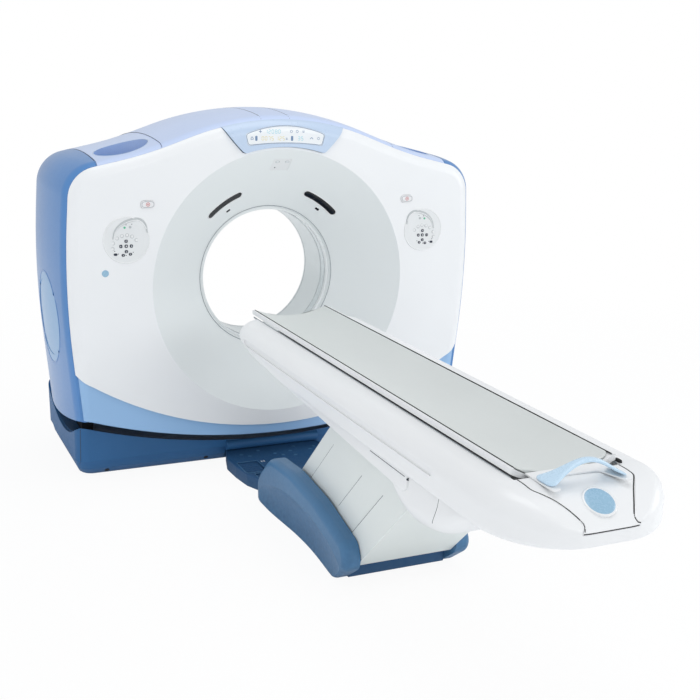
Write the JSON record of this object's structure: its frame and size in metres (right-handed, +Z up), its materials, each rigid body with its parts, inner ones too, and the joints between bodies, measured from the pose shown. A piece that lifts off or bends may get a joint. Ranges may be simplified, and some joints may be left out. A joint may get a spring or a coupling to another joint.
{
  "type": "ct scanner",
  "caption": "Computed tomography scanner with a tilting ring gantry on a floor base and a patient table on a parallel-arm lift with a sliding cradle.",
  "frame": {"origin": "on the floor under the isocentre, at the centre of the gantry's anchor pattern", "axes": "+Z up, +Y along the bore towards the gantry's rear, the table stands at -Y, +X to the right as seen from the table's foot end"},
  "size_m": [2.2872, 3.756, 1.852],
  "materials": {
    "white_cover": "satin white moulded cover",
    "light_blue_cover": "satin light blue moulded cover",
    "mid_blue_cover": "satin blue moulded cover",
    "lid_blue_cover": "satin pale blue moulded cover",
    "dark_blue_cover": "dark blue textured moulding",
    "shoe_blue": "blue textured moulding",
    "pedal_blue": "ribbed pedal pad",
    "display_glass": "display window",
    "dark_glass": "smoked laser window",
    "panel_grey": "membrane key panel",
    "button_white": "stop button",
    "window_film": "clear scan window film",
    "frame_steel": "painted steel",
    "race_steel": "machined steel",
    "drum_aluminium": "machined aluminium",
    "tube_housing": "painted housing",
    "detector_case": "painted housing",
    "slip_ring_case": "insulating ring",
    "belt_rubber": "drive belt",
    "motor_black": "motor housing",
    "leg_grey": "warm light grey cover",
    "white_table": "satin white moulded cover",
    "cradle_shell": "moulded shell",
    "pad_vinyl": "light grey vinyl pad",
    "handle_blue": "light blue grip"
  },
  "bodies": {
    "floor_base": {"floor_frame": "frame_steel", "base_cover": "dark_blue_cover", "foot_control": "dark_blue_cover", "table_base_frame": "frame_steel", "end_bar": "dark_blue_cover", "shoe_left": "shoe_blue", "shoe_right": "shoe_blue"},
    "gantry": {"tilting_frame": "frame_steel", "front_cover": "white_cover", "rear_cover": "white_cover", "front_apron": "light_blue_cover", "side_shell_left": "mid_blue_cover", "side_shell_right": "mid_blue_cover", "shoulder_lid_left": "lid_blue_cover", "shoulder_lid_right": "lid_blue_cover", "crown_lid": "lid_blue_cover", "display_housing": "light_blue_cover", "display_window": "display_glass", "control_panel_left": "panel_grey", "control_panel_right": "panel_grey", "laser_windows": "dark_glass", "guide_light_panel": "panel_grey", "bore_liner_front": "white_cover", "scan_window": "window_film", "bore_liner_rear": "white_cover", "bearing_outer_race": "race_steel", "tilt_sector": "race_steel", "drive_belt": "belt_rubber", "drive_motor": "motor_black"},
    "rotor": {"rotor_drum": "drum_aluminium", "bearing_inner_race": "race_steel", "xray_tube": "tube_housing", "collimator": "tube_housing", "detector": "detector_case", "generator_tanks": "tube_housing", "slip_ring": "slip_ring_case"},
    "motor_pulley": {"motor_pulley": "drum_aluminium"},
    "tilt_pinion": {"tilt_pinion": "race_steel"},
    "stop_button_left": {"stop_button_left": "button_white"},
    "stop_button_right": {"stop_button_right": "button_white"},
    "lift_front": {"lift_arm_front": "frame_steel", "leg_cover_fourth": "leg_grey"},
    "lift_rear": {"lift_arm_rear": "frame_steel", "leg_cover_first": "leg_grey"},
    "leg_cover_second": {"leg_cover_second": "leg_grey"},
    "leg_cover_third": {"leg_cover_third": "leg_grey"},
    "table_top": {"table_body": "white_table", "foot_panel": "white_table", "belly_fairing": "leg_grey", "table_frame": "frame_steel", "cradle_rails": "drum_aluminium"},
    "cradle": {"cradle": "cradle_shell", "cradle_pad": "pad_vinyl", "cradle_handle": "handle_blue", "cradle_bracket": "cradle_shell"},
    "pedal_raise_left": {"pedal_raise_left": "pedal_blue"},
    "pedal_raise_right": {"pedal_raise_right": "pedal_blue"},
    "pedal_lower_left": {"pedal_lower_left": "pedal_blue"},
    "pedal_lower_right": {"pedal_lower_right": "pedal_blue"}
  },
  "joints": [
    {"name": "gantry_tilt", "type": "hinge", "parent": "floor_base", "child": "gantry", "pos_m": [0, 0, 0.986], "axis": [1, 0, 0], "range_deg": [-25, 25]},
    {"name": "rotor_spin", "type": "hinge", "parent": "gantry", "child": "rotor", "pos_m": [0, 0, 0.986], "axis": [0, 1, 0], "continuous": true},
    {"name": "motor_spin", "type": "hinge", "parent": "gantry", "child": "motor_pulley", "pos_m": [0.52, 0, 0.266], "axis": [0, 1, 0], "continuous": true},
    {"name": "pinion_spin", "type": "hinge", "parent": "floor_base", "child": "tilt_pinion", "pos_m": [-0.9, 0, 0.7448], "axis": [1, 0, 0], "range_deg": [-180, 180]},
    {"name": "table_lift", "type": "hinge", "parent": "floor_base", "child": "lift_front", "pos_m": [0, -1.265, 0.165], "axis": [-1, 0, 0], "range_deg": [-30.5, 14]},
    {"name": "rear_arm_turn", "type": "hinge", "parent": "floor_base", "child": "lift_rear", "pos_m": [0, -1.915, 0.165], "axis": [-1, 0, 0], "range_deg": [-31, 14.5]},
    {"name": "second_cover_turn", "type": "hinge", "parent": "floor_base", "child": "leg_cover_second", "pos_m": [0, -1.795, 0.165], "axis": [-1, 0, 0], "range_deg": [-31, 14.5]},
    {"name": "third_cover_turn", "type": "hinge", "parent": "floor_base", "child": "leg_cover_third", "pos_m": [0, -1.469, 0.165], "axis": [-1, 0, 0], "range_deg": [-31, 14.5]},
    {"name": "table_level", "type": "hinge", "parent": "lift_front", "child": "table_top", "pos_m": [0, -1.77412, 0.67412], "axis": [-1, 0, 0], "range_deg": [-14.5, 31]},
    {"name": "cradle_slide", "type": "slide", "parent": "table_top", "child": "cradle", "axis": [0, 1, 0], "range_m": [0, 1.7]},
    {"name": "stop_press_left", "type": "slide", "parent": "gantry", "child": "stop_button_left", "axis": [0, 1, 0], "range_m": [0, 0.004], "stiffness_N_per_m": 600, "springref_m": -0.004},
    {"name": "stop_press_right", "type": "slide", "parent": "gantry", "child": "stop_button_right", "axis": [0, 1, 0], "range_m": [0, 0.004], "stiffness_N_per_m": 600, "springref_m": -0.004},
    {"name": "pedal_raise_left_press", "type": "hinge", "parent": "floor_base", "child": "pedal_raise_left", "pos_m": [0, -0.598, 0.047], "axis": [1, 0, 0], "range_deg": [0, 8], "stiffness_Nm_per_rad": 20, "springref_deg": -5.73},
    {"name": "pedal_raise_right_press", "type": "hinge", "parent": "floor_base", "child": "pedal_raise_right", "pos_m": [0, -0.598, 0.047], "axis": [1, 0, 0], "range_deg": [0, 8], "stiffness_Nm_per_rad": 20, "springref_deg": -5.73},
    {"name": "pedal_lower_left_press", "type": "hinge", "parent": "floor_base", "child": "pedal_lower_left", "pos_m": [0, -0.776, 0.047], "axis": [1, 0, 0], "range_deg": [0, 8], "stiffness_Nm_per_rad": 20, "springref_deg": -5.73},
    {"name": "pedal_lower_right_press", "type": "hinge", "parent": "floor_base", "child": "pedal_lower_right", "pos_m": [0, -0.776, 0.047], "axis": [1, 0, 0], "range_deg": [0, 8], "stiffness_Nm_per_rad": 20, "springref_deg": -5.73}
  ],
  "couplings": [
    {"joint": "motor_spin", "follows": "rotor_spin", "ratio": 12.821},
    {"joint": "pinion_spin", "follows": "gantry_tilt", "ratio": -7},
    {"joint": "rear_arm_turn", "follows": "table_lift", "ratio": 1},
    {"joint": "second_cover_turn", "follows": "table_lift", "ratio": 1},
    {"joint": "third_cover_turn", "follows": "table_lift", "ratio": 1},
    {"joint": "table_level", "follows": "table_lift", "ratio": -1}
  ]
}
